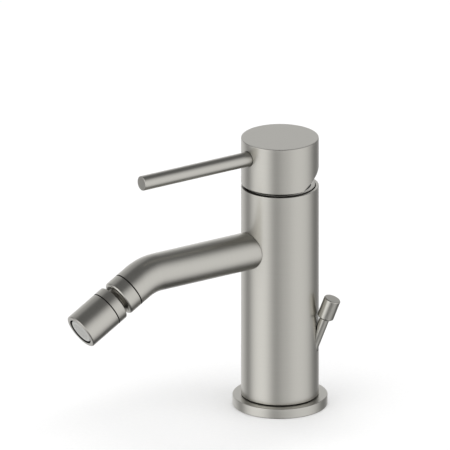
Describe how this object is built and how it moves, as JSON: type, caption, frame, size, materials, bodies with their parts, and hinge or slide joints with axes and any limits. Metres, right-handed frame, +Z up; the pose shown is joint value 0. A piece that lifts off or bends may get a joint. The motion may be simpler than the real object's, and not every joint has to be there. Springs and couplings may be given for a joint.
{
  "type": "bidet mixer",
  "caption": "Single-lever bidet mixer: round column on a flange, bent spout with a ball-swivel aerator nozzle, rod lever on a cap, and a slanted pop-up lift rod.",
  "frame": {"origin": "on the column's axis, at the deck that the flange stands on", "axes": "+Z up from the deck, -Y towards the spout's outlet and the lever, +X to the right seen from the front, so that the lift rod is at the back right"},
  "size_m": [0.0564, 0.1718, 0.1635],
  "materials": {
    "brushed_nickel": "brushed satin",
    "brass": "turned",
    "steel": "turned",
    "rubber": "matt",
    "ceramic": "lapped",
    "white_plastic": "moulded",
    "grey_plastic": "moulded"
  },
  "bodies": {
    "mixer_body": {"body": "brushed_nickel", "base_flange": "brushed_nickel", "base_gasket": "rubber", "spout": "brushed_nickel", "spout_seal": "rubber", "swivel_collar": "brushed_nickel", "seat_o_ring": "rubber", "cartridge_housing": "white_plastic", "cartridge_base": "grey_plastic", "port_seals": "rubber", "fixed_disc": "ceramic", "cartridge_nut": "brass", "dome_ring": "brushed_nickel", "rod_bush": "white_plastic", "rod_o_ring": "rubber"},
    "lever_rotor": {"rotor": "grey_plastic", "pivot_pin": "steel", "rotor_seal": "rubber"},
    "handle": {"lever_stem": "steel", "handle_cap": "brushed_nickel", "lever_rod": "brushed_nickel", "grub_screw": "steel", "screw_plug": "brushed_nickel"},
    "mixing_disc": {"disc_carrier": "white_plastic", "moving_disc": "ceramic"},
    "ball_seat": {"ball_seat": "white_plastic"},
    "nozzle": {"swivel_ball": "brushed_nickel", "nozzle_ring": "brushed_nickel", "nozzle_seal": "rubber", "nozzle_housing": "brushed_nickel", "aerator_washer": "rubber", "aerator_body": "grey_plastic", "aerator_screen": "steel", "aerator_grid": "grey_plastic"},
    "lift_rod": {"lift_rod": "brushed_nickel", "lift_knob": "brushed_nickel"}
  },
  "joints": [
    {"name": "handle_turn", "type": "hinge", "parent": "mixer_body", "child": "lever_rotor", "pos_m": [0, 0, 0.129], "axis": [0, 0, 1], "range_deg": [-45, 45]},
    {"name": "handle_lift", "type": "hinge", "parent": "lever_rotor", "child": "handle", "pos_m": [0, 0, 0.129], "axis": [-1, 0, 0], "range_deg": [0, 25]},
    {"name": "disc_slide", "type": "slide", "parent": "lever_rotor", "child": "mixing_disc", "axis": [0, -1, 0], "range_m": [0, 0.0036]},
    {"name": "head_turn", "type": "hinge", "parent": "mixer_body", "child": "ball_seat", "pos_m": [0, -0.10887, 0.08902], "axis": [0, -0.8704, -0.4924], "continuous": true},
    {"name": "head_tilt", "type": "hinge", "parent": "ball_seat", "child": "nozzle", "pos_m": [0, -0.10887, 0.08902], "axis": [1, 0, 0], "range_deg": [-15, 15]},
    {"name": "rod_slide", "type": "slide", "parent": "mixer_body", "child": "lift_rod", "axis": [0.2708, 0.2272, 0.9354], "range_m": [0, 0.015]}
  ],
  "couplings": [
    {"joint": "disc_slide", "follows": "handle_lift", "m_per_rad": 0.0082328}
  ]
}
